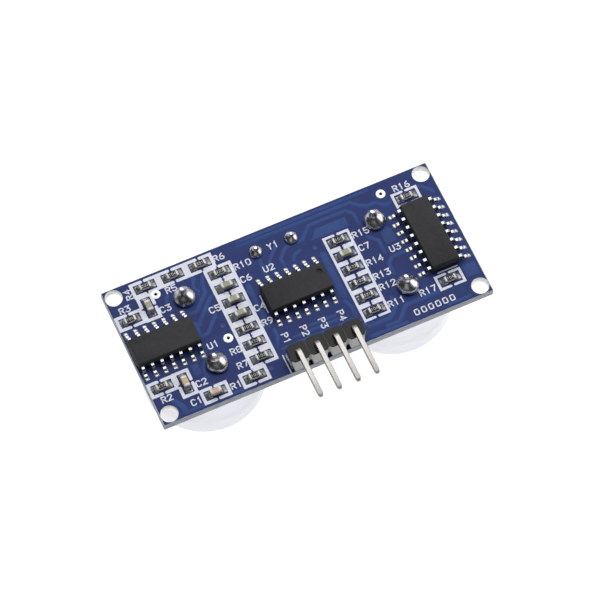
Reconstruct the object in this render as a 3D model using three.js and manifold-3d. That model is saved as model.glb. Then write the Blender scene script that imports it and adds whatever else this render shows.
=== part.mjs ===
// Ultrasonic distance sensor module: a small circuit board with a transmitter and a receiver
// capsule on its front face, and the amplifier, controller and line driver on its back face.
//
// Millimetres. The origin is the centre of the board's front face, which the capsules sit on.
// +Z points from there through the board to the component face, so the sensor looks along -Z.
// +X runs along the board to the transmitter, and the bent header pins leave along -Y.

import * as THREE from 'three';
import { mergeVertices } from 'three/addons/utils/BufferGeometryUtils.js';
import Module from 'manifold-3d';

const wasm = await Module();
wasm.setup();

// ---------------------------------------------------------------- driving dimensions

const BOARD = { length: 45, width: 20, thickness: 1.2 };
const MOUNTING_HOLE = { x: 21.25, y: 8.75, diameter: 2.2 };
const MIDDLE_SEAT = { length: 9.8, width: 12.4, x: 0, y: -1.4 };
const CORNER_SEAT = { length: 1.6, width: 1.6, x: 19.2, y: 8.75 };
const GAP = 0.03;

const CAPSULE = { x: 13.1, diameter: 16, depth: 12.3, wall: 0.4, lipWidth: 1.3, edgeRadius: 0.9 };
const SCREEN = { thickness: 0.3 };
const CAPSULE_BASE = { thickness: 2, pedestalDiameter: 7, pedestalHeight: 2.4 };
const PIEZO = { diameter: 9, thickness: 0.6 };
const HORN = { footDiameter: 2.4, mouthDiameter: 10.4, height: 3.4, wall: 0.3, floor: 0.5 };
const CAPSULE_PIN = { spread: 5, diameter: 0.7, above: 2.4, inside: 0.6, hole: 1.1 };

const CRYSTAL = { y: 7.2, length: 11.05, width: 4.65, height: 3.5, flange: 0.4, shoulder: 0.4, wall: 0.25 };
const CRYSTAL_LEAD = { spacing: 4.88, diameter: 0.43, above: 1.35, inside: 0.7, hole: 0.8 };
const QUARTZ = { length: 7.4, width: 2.2, thickness: 0.2 };

const HEADER = { y: -8.73, pitch: 2.54, pins: 4, depth: 2.5, height: 2.54, chamfer: 0.36 };
const HEADER_PIN = { width: 0.64, below: 1.3, top: 3.5, tipY: -15.75, bend: 1.1, taper: 0.45, hole: 1.02 };

const SOIC = { width: 3.9, height: 1.6, standoff: 0.12, draft: 0.14, span: 6, pitch: 1.27 };
const SOIC_LEAD = { width: 0.42, thickness: 0.21, foot: 0.62, knee: 0.28, root: 0.3 };

const RESISTOR = { length: 1.6, width: 0.8, height: 0.47, terminal: 0.3, step: 0.02 };
const CAPACITOR = { length: 1.6, width: 0.82, height: 0.8, terminal: 0.36, step: 0.03 };
const COLUMN_PITCH = 2.15;
const ROW_PITCH = 3.75;

const CAPSULE_SOLDER = { pad: 2.85, height: 2.1 };
const CRYSTAL_SOLDER = { pad: 1.8, height: 1.15 };
const HEADER_SOLDER = { pad: 1.9, height: 0.9 };
// A solder joint's side view, as shares of its reach and of its height: a full dome on its pad, then a collar
// that is drawn up the lead.
const JOINT_PROFILE = [[1, 0], [1, 0.14], [0.88, 0.32], [0.6, 0.48], [0.26, 0.63], [0.06, 0.78], [0, 1]];

// Facets of large and small round parts, of half a stadium's end, and of a quarter of the capsule's edge.
const ROUND = 48;
const SMALL_ROUND = 16;
const END_STEPS = 5;
const EDGE_STEPS = 4;

// How far a cutting tool runs past the faces that it cuts, and how near two points count as one.
const THROUGH = 1;
const WELD = 1e-4;

// ---------------------------------------------------------------- materials

const FINISHES = {
  solderMask: { color: 0x2b3f78, roughness: 0.45, metalness: 0 },
  blackPlastic: { color: 0x2c2c2e, roughness: 0.6, metalness: 0 },
  blackGlass: { color: 0x1b1b1d, roughness: 0.35, metalness: 0 },
  ceramic: { color: 0xa89d84, roughness: 0.55, metalness: 0 },
  tin: { color: 0xc9c6bf, roughness: 0.35, metalness: 0.9 },
  solder: { color: 0xb9bbbd, roughness: 0.25, metalness: 1 },
  aluminium: { color: 0xdfe2e6, roughness: 0.35, metalness: 0.9 },
  steel: { color: 0xc4c6c8, roughness: 0.3, metalness: 1 },
  phenolic: { color: 0x1d1c1b, roughness: 0.7, metalness: 0 },
  brassPlate: { color: 0xc9a24f, roughness: 0.35, metalness: 1 },
  quartz: { color: 0xe6ecec, roughness: 0.1, metalness: 0 },
};

const sensor = new THREE.Group();

function addPart(name, geometry, finish, { x = 0, y = 0, z = 0, turn = 0 } = {}) {
  const mesh = new THREE.Mesh(geometry, new THREE.MeshStandardMaterial(FINISHES[finish]));
  mesh.name = name;
  mesh.position.set(x, y, z);
  mesh.rotation.z = turn;
  sensor.add(mesh);
}

// ---------------------------------------------------------------- geometry helpers

function toSolid(geometry) {
  const bare = geometry.clone();
  bare.deleteAttribute('normal');
  bare.deleteAttribute('uv');
  const welded = mergeVertices(bare, WELD);
  const vertProperties = new Float32Array(welded.attributes.position.array);
  const triVerts = new Uint32Array(welded.index.array);
  return new wasm.Manifold(new wasm.Mesh({ numProp: 3, vertProperties, triVerts }));
}

function toGeometry(solid) {
  const { vertProperties, triVerts } = solid.getMesh();
  const geometry = new THREE.BufferGeometry();
  geometry.setAttribute('position', new THREE.BufferAttribute(vertProperties, 3));
  geometry.setIndex(new THREE.BufferAttribute(triVerts, 1));
  geometry.computeVertexNormals();
  return geometry;
}

function join(geometries) {
  return toGeometry(geometries.map(toSolid).reduce((whole, piece) => whole.add(piece)));
}

function cut(geometry, tools) {
  return toGeometry(tools.map(toSolid).reduce((whole, tool) => whole.subtract(tool), toSolid(geometry)));
}

function extrude(shape, depth) {
  return new THREE.ExtrudeGeometry(shape, { depth, bevelEnabled: false, curveSegments: END_STEPS });
}

// An outline drawn as (Y, Z) is extruded along X, centred on X = 0.
function extrudeAcross(shape, width) {
  const toYZ = new THREE.Matrix4().makeBasis(
    new THREE.Vector3(0, 1, 0),
    new THREE.Vector3(0, 0, 1),
    new THREE.Vector3(1, 0, 0),
  );
  return extrude(shape, width).translate(0, 0, -width / 2).applyMatrix4(toYZ);
}

function polygon(points) {
  return new THREE.Shape(points.map(([x, y]) => new THREE.Vector2(x, y)));
}

function rectangle(length, width, x = 0, y = 0) {
  const [dx, dy] = [length / 2, width / 2];
  return polygon([[x - dx, y - dy], [x + dx, y - dy], [x + dx, y + dy], [x - dx, y + dy]]);
}

// A straight-sided outline with two round ends, along X.
function stadium(length, width) {
  const radius = width / 2;
  const middle = length / 2 - radius;
  const shape = new THREE.Shape();
  shape.absarc(middle, 0, radius, -Math.PI / 2, Math.PI / 2);
  shape.absarc(-middle, 0, radius, Math.PI / 2, (3 * Math.PI) / 2);
  return shape;
}

// A profile of (radius, height) points turned about +Z.
function turned(points, segments) {
  const profile = points.map(([radius, height]) => new THREE.Vector2(radius, height));
  return new THREE.LatheGeometry(profile, segments).rotateX(Math.PI / 2);
}

function cylinder(diameter, bottom, top, segments = SMALL_ROUND) {
  const radius = diameter / 2;
  return turned([[0, bottom], [radius, bottom], [radius, top], [0, top]], segments);
}

// A closed ring: the profile's last point is its first.
function turnedRing(points, segments) {
  return turned([...points, points[0]], segments);
}

// Rectangles of (half length, half width, height), joined from the lowest to the highest.
function stackedBlock(levels) {
  const position = levels.flatMap(([dx, dy, z]) => [-dx, -dy, z, dx, -dy, z, dx, dy, z, -dx, dy, z]);
  const top = 4 * (levels.length - 1);
  const index = [0, 2, 1, 0, 3, 2, top, top + 1, top + 2, top, top + 2, top + 3];
  for (let level = 0; level < top; level += 4) {
    for (let side = 0; side < 4; side += 1) {
      const [a, b] = [level + side, level + ((side + 1) % 4)];
      index.push(a, b, b + 4, a, b + 4, a + 4);
    }
  }
  const geometry = new THREE.BufferGeometry();
  geometry.setAttribute('position', new THREE.Float32BufferAttribute(position, 3));
  geometry.setIndex(index);
  geometry.computeVertexNormals();
  return geometry;
}

// ---------------------------------------------------------------- circuit board

const TOP = BOARD.thickness;
const HEADER_X = Array.from({ length: HEADER.pins }, (_, i) => (i - (HEADER.pins - 1) / 2) * HEADER.pitch);

// Areas kept as faces of their own, where a bracket or standoff lies: mid-board and by each mounting hole.
const SEATS = [
  MIDDLE_SEAT,
  ...[[-1, -1], [-1, 1], [1, -1], [1, 1]].map(([sideX, sideY]) => (
    { ...CORNER_SEAT, x: sideX * CORNER_SEAT.x, y: sideY * CORNER_SEAT.y }
  )),
];

function circuitBoard() {
  const [below, above] = [-THROUGH, BOARD.thickness + THROUGH];
  const tools = SEATS.map(({ length, width, x, y }) => (
    extrude(rectangle(length, width, x, y), above - below).translate(0, 0, below)
  ));
  const drill = (diameter, x, y) => tools.push(cylinder(diameter, below, above).translate(x, y, 0));
  for (const sideX of [-1, 1]) {
    for (const sideY of [-1, 1]) {
      drill(MOUNTING_HOLE.diameter, sideX * MOUNTING_HOLE.x, sideY * MOUNTING_HOLE.y);
      drill(CAPSULE_PIN.hole, sideX * CAPSULE.x, sideY * CAPSULE_PIN.spread);
    }
    drill(CRYSTAL_LEAD.hole, (sideX * CRYSTAL_LEAD.spacing) / 2, CRYSTAL.y);
  }
  HEADER_X.forEach((x) => drill(HEADER_PIN.hole, x, HEADER.y));
  const drilled = cut(extrude(rectangle(BOARD.length, BOARD.width), BOARD.thickness), tools);
  const seats = SEATS.map(({ length, width, x, y }) => (
    extrude(rectangle(length, width, x, y), BOARD.thickness)
  ));
  return join([drilled, ...seats]);
}

// ---------------------------------------------------------------- integrated circuits

// A gull-wing lead in side view: out of the body, down, and a foot flat on its pad.
function gullWingLead() {
  const { thickness, foot, knee, root, width } = SOIC_LEAD;
  const inner = SOIC.width / 2;
  const outer = SOIC.span / 2;
  const middle = (SOIC.height + SOIC.standoff) / 2;
  const side = polygon([
    [inner - root, middle - thickness / 2],
    [inner + knee - thickness, middle - thickness / 2],
    [outer - foot - thickness / 2, 0],
    [outer, 0],
    [outer, thickness],
    [outer - foot + thickness / 2, thickness],
    [inner + knee, middle + thickness / 2],
    [inner - root, middle + thickness / 2],
  ]);
  return extrudeAcross(side, width);
}

function soicPackage(leadCount, bodyLength) {
  const perSide = leadCount / 2;
  const [dx, dy] = [bodyLength / 2, SOIC.width / 2];
  const middle = (SOIC.height + SOIC.standoff) / 2;
  const pieces = [
    stackedBlock([
      [dx - SOIC.draft, dy - SOIC.draft, SOIC.standoff],
      [dx, dy, middle],
      [dx - SOIC.draft, dy - SOIC.draft, SOIC.height],
    ]),
  ];
  for (let i = 0; i < perSide; i += 1) {
    const x = (i - (perSide - 1) / 2) * SOIC.pitch;
    pieces.push(gullWingLead().translate(x, 0, 0));
    pieces.push(gullWingLead().rotateZ(Math.PI).translate(x, 0, 0));
  }
  return join(pieces);
}

const CIRCUITS = [
  { name: 'ic_receiver_amplifier', leads: 14, length: 8.65, x: -18.05, y: 0.05, turn: 0 },
  { name: 'ic_controller', leads: 14, length: 8.65, x: 0, y: 0.05, turn: 0 },
  { name: 'ic_transmitter_driver', leads: 16, length: 9.9, x: 18.4, y: 0.15, turn: Math.PI / 2 },
];

function addIntegratedCircuits() {
  for (const { name, leads, length, x, y, turn } of CIRCUITS) {
    addPart(name, soicPackage(leads, length), 'blackPlastic', { x, y, z: TOP + GAP, turn });
  }
}

// ---------------------------------------------------------------- resistors and capacitors

// A chip part in side view: a body between two slightly thicker end terminals.
function chipPart({ length, width, height, terminal, step }) {
  const end = length / 2;
  const shoulder = end - terminal;
  const side = polygon([
    [-end, 0], [-shoulder, 0], [-shoulder, step], [shoulder, step], [shoulder, 0], [end, 0],
    [end, height], [shoulder, height], [shoulder, height - step],
    [-shoulder, height - step], [-shoulder, height], [-end, height],
  ]);
  return extrudeAcross(side, width).rotateZ(-Math.PI / 2);
}

// A column is listed from its lower end and a row from its left end.
function column(kinds, x, bottomY) {
  return [...kinds].map((kind, i) => ({ kind, x, y: bottomY + i * COLUMN_PITCH, turn: 0 }));
}

function row(kinds, leftX, y) {
  return [...kinds].map((kind, i) => ({ kind, x: leftX + i * ROW_PITCH, y, turn: 0 }));
}

// R is a resistor and C a capacitor, in the order in which they are numbered: round the receiver
// amplifier, up the two columns beside the controller, and at the ends of the transmitter driver.
const CHIP_PARTS = [
  { kind: 'R', x: -9.6, y: -8.5, turn: 0 },
  { kind: 'C', x: -14.9, y: -8.5, turn: 0 },
  { kind: 'C', x: -17.8, y: -5.8, turn: Math.PI / 2 },
  { kind: 'R', x: -20.65, y: -5.05, turn: 0 },
  { kind: 'R', x: -20.6, y: 5, turn: 0 },
  { kind: 'C', x: -17.75, y: 5.7, turn: Math.PI / 2 },
  ...row('RRR', -17.05, 8.55),
  ...column('RRRCCCR', -7.73, -6.4),
  ...column('RRRRCR', 7.72, -6.35),
  { kind: 'R', x: 18.2, y: 6.5, turn: 0 },
  { kind: 'R', x: 18.2, y: -6.35, turn: 0 },
];

function addChipParts() {
  const count = { R: 0, C: 0 };
  for (const { kind, x, y, turn } of CHIP_PARTS) {
    count[kind] += 1;
    const number = String(count[kind]).padStart(2, '0');
    const place = { x, y, z: TOP + GAP, turn };
    if (kind === 'R') {
      addPart(`resistor_${number}`, chipPart(RESISTOR), 'blackGlass', place);
    } else {
      addPart(`capacitor_${number}`, chipPart(CAPACITOR), 'ceramic', place);
    }
  }
}

// ---------------------------------------------------------------- crystal

function crystalBase() {
  const { spacing, diameter, above, inside } = CRYSTAL_LEAD;
  const { length, width, flange } = CRYSTAL;
  const plate = extrude(stadium(length, width), flange).translate(0, 0, -flange);
  const leads = [-1, 1].map((side) => {
    const lead = cylinder(diameter, -flange - inside, TOP + GAP + above);
    return lead.translate((side * spacing) / 2, 0, 0);
  });
  return join([plate, ...leads]);
}

// A cup with a welding rim, open towards the base.
function crystalCan() {
  const { length, width, height, flange, shoulder, wall } = CRYSTAL;
  const rim = extrude(stadium(length, width), wall);
  const cup = extrude(stadium(length - 2 * shoulder, width - 2 * shoulder), height - flange);
  const inset = 2 * (shoulder + wall);
  const hollow = extrude(stadium(length - inset, width - inset), height - flange - wall);
  const upsideDown = cut(join([rim, cup]), [hollow.translate(0, 0, -GAP)]);
  return upsideDown.rotateX(Math.PI);
}

function addCrystal() {
  addPart('crystal_base', crystalBase(), 'steel', { y: CRYSTAL.y, z: -GAP });
  addPart('crystal_can', crystalCan(), 'steel', { y: CRYSTAL.y, z: -CRYSTAL.flange - 2 * GAP });
  const blank = extrude(rectangle(QUARTZ.length, QUARTZ.width), QUARTZ.thickness);
  const restZ = -CRYSTAL.flange - CRYSTAL_LEAD.inside - 2 * GAP - QUARTZ.thickness;
  addPart('quartz_blank', blank, 'quartz', { y: CRYSTAL.y, z: restZ });
}

// ---------------------------------------------------------------- pin header

// One notched cell per pin, each with its square pin passage.
function headerInsulator() {
  const { pitch, depth, chamfer, height } = HEADER;
  const [dx, dy] = [pitch / 2, depth / 2];
  const front = HEADER_X.flatMap((x) => [
    [x - dx, chamfer - dy], [x - dx + chamfer, -dy], [x + dx - chamfer, -dy], [x + dx, chamfer - dy],
  ]);
  const back = front.map(([x, y]) => [x, -y]).reverse();
  const outline = polygon([...front, ...back].filter(([x, y], i, all) => {
    const [lastX, lastY] = all[(i + all.length - 1) % all.length];
    return Math.hypot(x - lastX, y - lastY) > WELD;
  }));
  const passage = HEADER_PIN.width + 2 * GAP;
  const passages = HEADER_X.map((x) => (
    extrude(rectangle(passage, passage, x), height + 2 * THROUGH).translate(0, 0, -THROUGH)
  ));
  return cut(extrude(outline, height), passages);
}

// An L in side view: up through the board and insulator, round the bend, and out to a tapered tip.
function headerPin() {
  const { width, below, top, tipY, bend, taper } = HEADER_PIN;
  const half = width / 2;
  const reach = tipY - HEADER.y;
  const innerBend = bend - width;
  const side = new THREE.Shape();
  side.moveTo(-half, -below);
  side.lineTo(half, -below);
  side.lineTo(half, TOP + top - bend);
  side.absarc(half - bend, TOP + top - bend, bend, 0, Math.PI / 2);
  side.lineTo(reach + taper, TOP + top);
  side.lineTo(reach, TOP + top - half / 2);
  side.lineTo(reach, TOP + top - width + half / 2);
  side.lineTo(reach + taper, TOP + top - width);
  side.lineTo(half - bend, TOP + top - width);
  side.absarc(half - bend, TOP + top - bend, innerBend, Math.PI / 2, 0, true);
  side.closePath();
  return extrudeAcross(side, width);
}

function addHeader() {
  addPart('header_insulator', headerInsulator(), 'blackPlastic', { y: HEADER.y, z: TOP + GAP });
  HEADER_X.forEach((x, i) => addPart(`header_pin_${i + 1}`, headerPin(), 'tin', { x, y: HEADER.y }));
}

// ---------------------------------------------------------------- ultrasonic capsules

// Heights below are distances in front of the board, so each piece is turned to face -Z.
const PEDESTAL_TOP = GAP + CAPSULE_BASE.thickness + CAPSULE_BASE.pedestalHeight;
const PIEZO_TOP = PEDESTAL_TOP + GAP + PIEZO.thickness;

function facingForward(geometry) {
  return geometry.rotateX(Math.PI);
}

function roundedCorner(centreR, centreZ, radius, from, to, steps) {
  return Array.from({ length: steps + 1 }, (_, i) => {
    const angle = from + ((to - from) * i) / steps;
    return [centreR + radius * Math.cos(angle), centreZ + radius * Math.sin(angle)];
  });
}

// A drawn cup: open at the back, with its front edge rolled in to a lip.
function capsuleCan() {
  const { diameter, depth, wall, lipWidth, edgeRadius } = CAPSULE;
  const radius = diameter / 2;
  const centreR = radius - edgeRadius;
  const centreZ = depth - edgeRadius;
  return facingForward(turnedRing([
    [radius, GAP],
    ...roundedCorner(centreR, centreZ, edgeRadius, 0, Math.PI / 2, EDGE_STEPS),
    [radius - lipWidth - wall, depth],
    [radius - lipWidth - wall, depth - wall],
    ...roundedCorner(centreR, centreZ, edgeRadius - wall, Math.PI / 2, 0, EDGE_STEPS),
    [radius - wall, GAP],
  ], ROUND));
}

function capsuleScreen() {
  const front = CAPSULE.depth - CAPSULE.wall - GAP;
  const diameter = CAPSULE.diameter - 2 * CAPSULE.edgeRadius - 2 * GAP;
  return facingForward(cylinder(diameter, front - SCREEN.thickness, front, ROUND));
}

function capsuleBase() {
  const radius = CAPSULE.diameter / 2 - CAPSULE.wall - GAP;
  const shoulder = GAP + CAPSULE_BASE.thickness;
  const pedestal = CAPSULE_BASE.pedestalDiameter / 2;
  const body = turned([
    [0, GAP], [radius, GAP], [radius, shoulder],
    [pedestal, shoulder], [pedestal, PEDESTAL_TOP], [0, PEDESTAL_TOP],
  ], ROUND);
  const passages = [-1, 1].map((side) => {
    const passage = cylinder(CAPSULE_PIN.diameter + 2 * GAP, 0, CAPSULE_BASE.thickness + THROUGH);
    return passage.translate(0, side * CAPSULE_PIN.spread, 0);
  });
  return facingForward(cut(body, passages));
}

function capsulePin() {
  const bottom = -CAPSULE_BASE.thickness - CAPSULE_PIN.inside;
  return cylinder(CAPSULE_PIN.diameter, bottom, TOP + CAPSULE_PIN.above);
}

function piezoDisc() {
  return facingForward(cylinder(PIEZO.diameter, PEDESTAL_TOP + GAP, PIEZO_TOP, ROUND / 2));
}

// A thin cone that opens forward from a flat foot on the disc.
function horn() {
  const { footDiameter, mouthDiameter, height, wall, floor } = HORN;
  const back = PIEZO_TOP + GAP;
  const [foot, mouth] = [footDiameter / 2, mouthDiameter / 2];
  return facingForward(turned([
    [0, back], [foot, back], [mouth, back + height],
    [mouth - wall, back + height], [foot - wall / 2, back + floor], [0, back + floor],
  ], ROUND / 2));
}

function addCapsule(prefix, x) {
  addPart(`${prefix}_can`, capsuleCan(), 'aluminium', { x });
  addPart(`${prefix}_screen`, capsuleScreen(), 'steel', { x });
  addPart(`${prefix}_horn`, horn(), 'aluminium', { x });
  addPart(`${prefix}_piezo_disc`, piezoDisc(), 'brassPlate', { x });
  addPart(`${prefix}_base`, capsuleBase(), 'phenolic', { x });
  addPart(`${prefix}_pin_1`, capsulePin(), 'tin', { x, y: CAPSULE_PIN.spread });
  addPart(`${prefix}_pin_2`, capsulePin(), 'tin', { x, y: -CAPSULE_PIN.spread });
}

// ---------------------------------------------------------------- solder joints

// A solder joint around a lead: a dome on its pad, drawn up the lead, with the lead's way open through it.
function solderJoint(leadWidth, padDiameter, height) {
  const inner = leadWidth / 2 + GAP;
  const reach = padDiameter / 2 - inner;
  const slope = JOINT_PROFILE.map(([across, up]) => [inner + reach * across, height * up]);
  return turnedRing([[inner, 0], ...slope], SMALL_ROUND);
}

function addSolder() {
  for (const [prefix, x] of [['transmitter', CAPSULE.x], ['receiver', -CAPSULE.x]]) {
    [1, -1].forEach((side, i) => {
      const joint = solderJoint(CAPSULE_PIN.diameter, CAPSULE_SOLDER.pad, CAPSULE_SOLDER.height);
      const place = { x, y: side * CAPSULE_PIN.spread, z: TOP + GAP };
      addPart(`${prefix}_solder_${i + 1}`, joint, 'solder', place);
    });
  }
  [-1, 1].forEach((side, i) => {
    const joint = solderJoint(CRYSTAL_LEAD.diameter, CRYSTAL_SOLDER.pad, CRYSTAL_SOLDER.height);
    const place = { x: (side * CRYSTAL_LEAD.spacing) / 2, y: CRYSTAL.y, z: TOP + GAP };
    addPart(`crystal_solder_${i + 1}`, joint, 'solder', place);
  });
  HEADER_X.forEach((x, i) => {
    const diagonal = HEADER_PIN.width * Math.SQRT2;
    const joint = facingForward(solderJoint(diagonal, HEADER_SOLDER.pad, HEADER_SOLDER.height));
    addPart(`header_solder_${i + 1}`, joint, 'solder', { x, y: HEADER.y, z: -GAP });
  });
}

// ---------------------------------------------------------------- assembly

addPart('circuit_board', circuitBoard(), 'solderMask');
addIntegratedCircuits();
addChipParts();
addCrystal();
addHeader();
addCapsule('transmitter', CAPSULE.x);
addCapsule('receiver', -CAPSULE.x);
addSolder();

export default sensor;
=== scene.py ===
"""Ultrasonic distance sensor module: the finished looks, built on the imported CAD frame."""
import math

import bmesh
import bpy
from mathutils import Matrix, Vector, noise
from mathutils.geometry import tessellate_polygon


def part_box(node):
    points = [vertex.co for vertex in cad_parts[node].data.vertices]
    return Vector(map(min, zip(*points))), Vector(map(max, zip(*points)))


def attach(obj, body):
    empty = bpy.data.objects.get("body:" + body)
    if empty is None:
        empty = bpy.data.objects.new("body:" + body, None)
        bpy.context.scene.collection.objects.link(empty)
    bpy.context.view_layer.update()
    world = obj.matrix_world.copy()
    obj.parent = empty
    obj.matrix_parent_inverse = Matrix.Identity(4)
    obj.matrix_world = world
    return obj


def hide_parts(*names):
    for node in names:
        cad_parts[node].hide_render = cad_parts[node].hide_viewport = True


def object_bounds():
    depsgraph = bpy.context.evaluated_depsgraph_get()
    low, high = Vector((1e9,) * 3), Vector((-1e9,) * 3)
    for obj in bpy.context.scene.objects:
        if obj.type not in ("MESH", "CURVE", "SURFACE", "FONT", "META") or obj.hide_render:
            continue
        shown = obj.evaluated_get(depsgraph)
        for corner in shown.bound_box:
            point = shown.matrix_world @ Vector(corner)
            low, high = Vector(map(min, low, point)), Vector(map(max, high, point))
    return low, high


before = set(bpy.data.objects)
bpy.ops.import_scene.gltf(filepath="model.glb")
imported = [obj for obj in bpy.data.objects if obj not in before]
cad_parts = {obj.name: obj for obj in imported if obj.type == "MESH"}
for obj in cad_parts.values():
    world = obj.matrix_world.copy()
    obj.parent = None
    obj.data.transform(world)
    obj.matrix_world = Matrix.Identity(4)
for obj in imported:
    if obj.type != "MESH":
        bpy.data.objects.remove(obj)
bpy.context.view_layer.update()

# All shapes are worked out in millimetres in the CAD frame and scaled to metres when a piece is made.
MM = 0.001
BODY = "root"


# ------------ camera

VIEW = {
    "azimuth": -23.85, "elevation": 63.54, "roll": -0.664, "distance": 447.1, "lens": 214.16, "sensor": 36.0,
    "side": 0.367, "up": -1.021,
}
BOARD_FACE_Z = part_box("circuit_board")[1][2] / MM


def make_camera():
    """Looks at the middle of the component face from the photograph's direction, through a long lens."""
    azimuth, elevation, roll = (math.radians(VIEW[k]) for k in ("azimuth", "elevation", "roll"))
    back = Vector((math.sin(azimuth) * math.cos(elevation), -math.cos(azimuth) * math.cos(elevation),
                   math.sin(elevation)))
    level = (-back).cross(Vector((0, 0, 1))).normalized()
    upright = level.cross(-back)
    right = math.cos(roll) * level + math.sin(roll) * upright
    up = math.cos(roll) * upright - math.sin(roll) * level
    place = Vector((0, 0, BOARD_FACE_Z)) + back * VIEW["distance"] + right * VIEW["side"] + up * VIEW["up"]
    data = bpy.data.cameras.new("camera")
    data.lens, data.sensor_width = VIEW["lens"], VIEW["sensor"]
    data.clip_start, data.clip_end = 0.01, 10.0
    camera = bpy.data.objects.new("camera", data)
    turn = Matrix((right, up, back)).transposed().to_4x4()
    camera.matrix_world = Matrix.Translation(place * MM) @ turn
    bpy.context.scene.collection.objects.link(camera)
    bpy.context.scene.camera = camera


make_camera()


# ------------ materials

# The part of the noise's range, 0 to 1, over which a surface goes from its first look to its second.
NOISE_RANGE = (0.3, 0.7)


def linear(red, green, blue):
    """A colour of 0 to 255 per channel, as the shader wants it."""
    def channel(value):
        value /= 255
        return value / 12.92 if value <= 0.04045 else ((value + 0.055) / 1.055) ** 2.4
    return (channel(red), channel(green), channel(blue), 1.0)


def set_inputs(node, values):
    for name, value in values.items():
        node.inputs[name].default_value = value


def finish(name, colours, roughness, metallic=0.0, grain=0.6, stretch=(1, 1, 1), bump=(0.2, 0.15, 0.01),
           specular=0.5, coat=0.0, coat_roughness=0.2):
    """A procedural surface: two colours and two roughnesses mixed by noise, with a fine bump.

    grain is the size of the noise's features. bump is a strength, a size of its own and a depth.
    Sizes and depths are in millimetres, and colours are 0 to 255 per channel.
    """
    strength, bump_grain, depth = bump
    made = bpy.data.materials.new(name)
    made.use_nodes = True
    nodes, links = made.node_tree.nodes, made.node_tree.links
    shader = nodes["Principled BSDF"]
    where = nodes.new("ShaderNodeTexCoord")
    scaled = nodes.new("ShaderNodeMapping")
    set_inputs(scaled, {"Scale": stretch})
    links.new(where.outputs["Object"], scaled.inputs["Vector"])

    def cloud(size, detail):
        node = nodes.new("ShaderNodeTexNoise")
        set_inputs(node, {"Scale": 1 / (size * MM), "Detail": detail})
        links.new(scaled.outputs["Vector"], node.inputs["Vector"])
        return node

    broad = cloud(grain, 5)
    ramp = nodes.new("ShaderNodeValToRGB")
    for element, position, colour in zip(ramp.color_ramp.elements, NOISE_RANGE, colours):
        element.position, element.color = position, linear(*colour)
    links.new(broad.outputs["Fac"], ramp.inputs["Fac"])
    links.new(ramp.outputs["Color"], shader.inputs["Base Color"])
    rough = nodes.new("ShaderNodeMapRange")
    set_inputs(rough, dict(zip(("From Min", "From Max", "To Min", "To Max"), NOISE_RANGE + roughness)))
    links.new(broad.outputs["Fac"], rough.inputs["Value"])
    links.new(rough.outputs["Result"], shader.inputs["Roughness"])
    relief = nodes.new("ShaderNodeBump")
    set_inputs(relief, {"Strength": strength, "Distance": depth * MM})
    links.new(cloud(bump_grain, 3).outputs["Fac"], relief.inputs["Height"])
    links.new(relief.outputs["Normal"], shader.inputs["Normal"])
    set_inputs(shader, {"Metallic": metallic, "Specular IOR Level": specular, "Coat Weight": coat,
                        "Coat Roughness": coat_roughness})
    return made


MASK = finish("solder_mask", ((32, 44, 102), (42, 60, 114)), (0.42, 0.55), grain=2.5,
              bump=(0.25, 0.35, 0.006), specular=0.12)
MASK_ON_COPPER = finish("mask_on_copper", ((38, 62, 122), (44, 74, 134)), (0.36, 0.5), grain=1.4,
                        bump=(0.25, 0.3, 0.006), specular=0.14)
VIA_DARK = finish("tented_via", ((24, 30, 60), (32, 40, 76)), (0.4, 0.5), grain=0.4)
# Painted light: the mounting holes' walls are the same laminate as the board's edge, coloured near white to
# stand in for the light that comes up through the laminate and fills the holes.
HOLE_WALL_PAINTED_LIGHT = finish("mounting_hole_wall_painted_light", ((240, 241, 238), (252, 252, 250)), (0.6, 0.8), grain=0.4,
                   bump=(0.4, 0.12, 0.02), specular=0.3)
LAMINATE = finish("laminate_edge", ((116, 122, 138), (190, 193, 200)), (0.6, 0.8), grain=0.35,
                  stretch=(0.35, 0.35, 4), bump=(0.6, 0.12, 0.03), specular=0.3)
INK = finish("silkscreen_ink", ((214, 217, 232), (240, 242, 248)), (0.6, 0.8), grain=0.18,
             bump=(0.5, 0.1, 0.008), specular=0.2)
PAD_TIN = finish("pad_tin", ((136, 138, 142), (186, 186, 186)), (0.28, 0.46), 1.0, grain=0.3,
                 bump=(0.5, 0.2, 0.02))
# Painted shade: the test vias' barrels are coloured dark to stand in for the shade deep inside a narrow hole;
# plated copper there would really be as bright as the tin.
PAINTED_SHADE_BARREL = finish("via_barrel_painted_shade", ((36, 32, 30), (60, 54, 50)), (0.5, 0.7), 0.5, grain=0.2)
RING_TIN = finish("ring_tin", ((228, 228, 226), (250, 250, 250)), (0.5, 0.62), 0.35, grain=0.3,
                  bump=(0.3, 0.2, 0.01))
SOLDER = finish("solder", ((192, 191, 193), (226, 225, 227)), (0.22, 0.32), 1.0, grain=0.8,
                bump=(0.06, 0.9, 0.01))
LEAD_TIN = finish("lead_tin", ((130, 130, 133), (170, 170, 172)), (0.17, 0.28), 1.0, grain=0.3,
                  bump=(0.3, 0.1, 0.006))
PIN_TIN = finish("pin_tin", ((147, 144, 141), (171, 168, 165)), (0.36, 0.52), 1.0, grain=0.35,
                 stretch=(1, 0.15, 0.15), bump=(0.35, 0.12, 0.01))
EPOXY = finish("ic_epoxy", ((49, 49, 51), (58, 58, 60)), (0.55, 0.68), grain=0.5, bump=(0.4, 0.06, 0.008),
               specular=0.14)
HEADER_SIDE = finish("header_side", ((15, 14, 13), (24, 22, 20)), (0.1, 0.18), grain=0.5,
                     bump=(0.2, 0.4, 0.006), specular=1.0, coat=1.0, coat_roughness=0.1)
HEADER_PLASTIC = finish("header_plastic", ((15, 14, 13), (24, 22, 20)), (0.2, 0.32), grain=0.5,
                        bump=(0.2, 0.3, 0.006), specular=0.14)
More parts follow.
